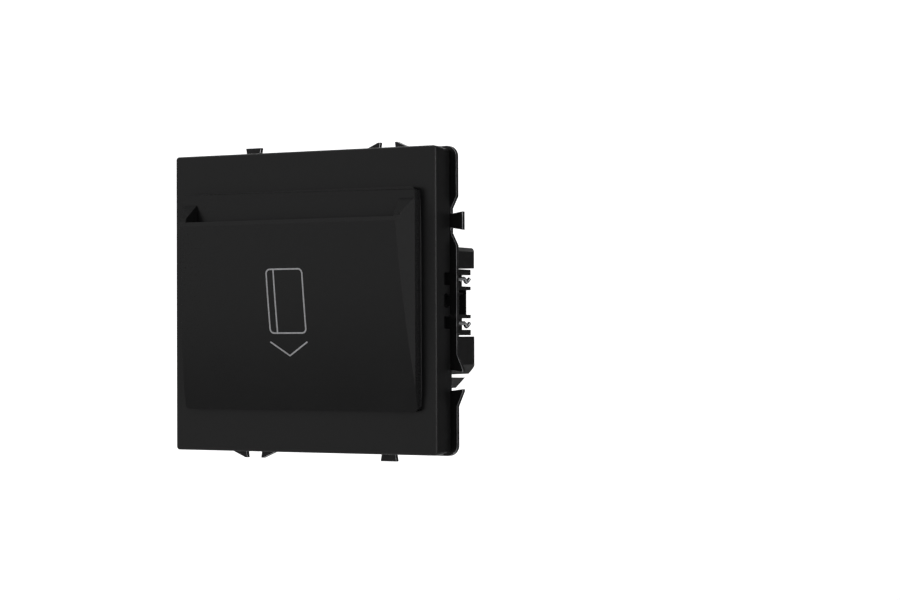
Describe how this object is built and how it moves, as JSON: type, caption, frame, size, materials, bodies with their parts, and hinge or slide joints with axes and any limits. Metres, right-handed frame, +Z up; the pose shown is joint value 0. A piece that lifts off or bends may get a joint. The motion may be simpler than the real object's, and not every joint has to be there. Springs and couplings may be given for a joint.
{
  "type": "hotel key card switch",
  "caption": "Flush wall switch worked by a hotel key card: charcoal plate with a raised card pocket, steel frame, claw fixings and a stepped housing.",
  "frame": {"origin": "centre of the wall face, the rear face of the steel frame", "axes": "+X right seen from the front, +Y into the wall, +Z up"},
  "size_m": [0.0764, 0.0473, 0.0752],
  "materials": {
    "charcoal_plastic": "matte",
    "black_plastic": "satin",
    "black_steel": "satin",
    "spring_steel": "satin",
    "zinc_steel": "bright zinc",
    "yellow_zinc": "yellow chromate",
    "tinned_copper": "satin",
    "board_laminate": "satin",
    "relay_blue": "satin",
    "capacitor_yellow": "satin",
    "capacitor_sleeve": "gloss",
    "varistor_blue": "gloss",
    "resistor_coat": "satin",
    "diode_black": "satin",
    "terminal_grey": "matte",
    "plunger_white": "satin"
  },
  "bodies": {
    "base": {"support_frame": "black_steel", "plate_clips": "spring_steel", "frame_screws": "zinc_steel", "front_housing": "black_plastic", "rear_cover": "black_plastic", "lever_carrier": "black_plastic", "lever_pin": "zinc_steel", "lever_spring": "spring_steel", "switch_case": "diode_black", "switch_pins": "tinned_copper", "circuit_board": "board_laminate", "relay": "relay_blue", "film_capacitor": "capacitor_yellow", "smoothing_capacitor": "capacitor_sleeve", "varistor": "varistor_blue", "dropper_resistor": "resistor_coat", "rectifier_diodes": "diode_black", "terminal_block": "terminal_grey", "terminal_bars": "tinned_copper", "claw_nuts": "yellow_zinc"},
    "cover": {"face_plate": "charcoal_plastic", "card_pocket": "charcoal_plastic", "pocket_back": "charcoal_plastic", "pocket_screws": "zinc_steel"},
    "lever": {"card_lever": "charcoal_plastic"},
    "plunger": {"switch_plunger": "plunger_white"},
    "cage_1": {"terminal_cage_1": "yellow_zinc"},
    "clamp_screw_1": {"terminal_screw_1": "zinc_steel"},
    "cage_2": {"terminal_cage_2": "yellow_zinc"},
    "clamp_screw_2": {"terminal_screw_2": "zinc_steel"},
    "cage_3": {"terminal_cage_3": "yellow_zinc"},
    "clamp_screw_3": {"terminal_screw_3": "zinc_steel"},
    "screw_right": {"claw_screw_right": "yellow_zinc"},
    "saddle_right": {"claw_saddle_right": "yellow_zinc"},
    "claw_right": {"claw_wire_right": "zinc_steel"},
    "screw_left": {"claw_screw_left": "yellow_zinc"},
    "saddle_left": {"claw_saddle_left": "yellow_zinc"},
    "claw_left": {"claw_wire_left": "zinc_steel"}
  },
  "joints": [
    {"name": "cover_pull", "type": "slide", "parent": "base", "child": "cover", "axis": [0, -1, 0], "range_m": [0, 0.012]},
    {"name": "lever_swing", "type": "hinge", "parent": "base", "child": "lever", "pos_m": [0, -0.0041, 0.013], "axis": [1, 0, 0], "range_deg": [0, 6.5], "stiffness_Nm_per_rad": 0.03, "springref_deg": -11.46, "deforming": ["lever_spring"]},
    {"name": "plunger_slide", "type": "slide", "parent": "base", "child": "plunger", "axis": [0, 1, 0], "range_m": [0, 0.00136]},
    {"name": "clamp_turn_1", "type": "hinge", "parent": "base", "child": "clamp_screw_1", "pos_m": [-0.009, 0.0148, 0.0244], "axis": [0, 0, -1], "range_deg": [0, 1729]},
    {"name": "cage_rise_1", "type": "slide", "parent": "base", "child": "cage_1", "axis": [0, 0, 1], "range_m": [0, 0.0024]},
    {"name": "clamp_turn_2", "type": "hinge", "parent": "base", "child": "clamp_screw_2", "pos_m": [0, 0.0148, 0.0244], "axis": [0, 0, -1], "range_deg": [0, 1729]},
    {"name": "cage_rise_2", "type": "slide", "parent": "base", "child": "cage_2", "axis": [0, 0, 1], "range_m": [0, 0.0024]},
    {"name": "clamp_turn_3", "type": "hinge", "parent": "base", "child": "clamp_screw_3", "pos_m": [0.009, 0.0148, 0.0244], "axis": [0, 0, -1], "range_deg": [0, 1729]},
    {"name": "cage_rise_3", "type": "slide", "parent": "base", "child": "cage_3", "axis": [0, 0, 1], "range_m": [0, 0.0024]},
    {"name": "saddle_push_right", "type": "slide", "parent": "base", "child": "saddle_right", "axis": [0, 1, 0], "range_m": [0, 0.000925]},
    {"name": "claw_turn_right", "type": "hinge", "parent": "saddle_right", "child": "screw_right", "pos_m": [0.0195, 0.0048, 0], "axis": [0, 1, 0], "range_deg": [0, 667]},
    {"name": "claw_spread_right", "type": "hinge", "parent": "base", "child": "claw_right", "pos_m": [0.0246, 0.0092, 0], "axis": [0, 0, -1], "range_deg": [0, 20.1]},
    {"name": "saddle_push_left", "type": "slide", "parent": "base", "child": "saddle_left", "axis": [0, 1, 0], "range_m": [0, 0.000925]},
    {"name": "claw_turn_left", "type": "hinge", "parent": "saddle_left", "child": "screw_left", "pos_m": [-0.0195, 0.0048, 0], "axis": [0, 1, 0], "range_deg": [0, 667]},
    {"name": "claw_spread_left", "type": "hinge", "parent": "base", "child": "claw_left", "pos_m": [-0.0246, 0.0092, 0], "axis": [0, 0, 1], "range_deg": [0, 20.1]}
  ],
  "couplings": [
    {"joint": "lever_swing", "follows": "plunger_slide", "rad_per_m": 83.333},
    {"joint": "clamp_turn_1", "follows": "cage_rise_1", "rad_per_m": 12566},
    {"joint": "clamp_turn_2", "follows": "cage_rise_2", "rad_per_m": 12566},
    {"joint": "clamp_turn_3", "follows": "cage_rise_3", "rad_per_m": 12566},
    {"joint": "claw_turn_right", "follows": "saddle_push_right", "rad_per_m": 12566},
    {"joint": "claw_spread_right", "follows": "saddle_push_right", "rad_per_m": 378},
    {"joint": "claw_turn_left", "follows": "saddle_push_left", "rad_per_m": 12566},
    {"joint": "claw_spread_left", "follows": "saddle_push_left", "rad_per_m": 378}
  ]
}
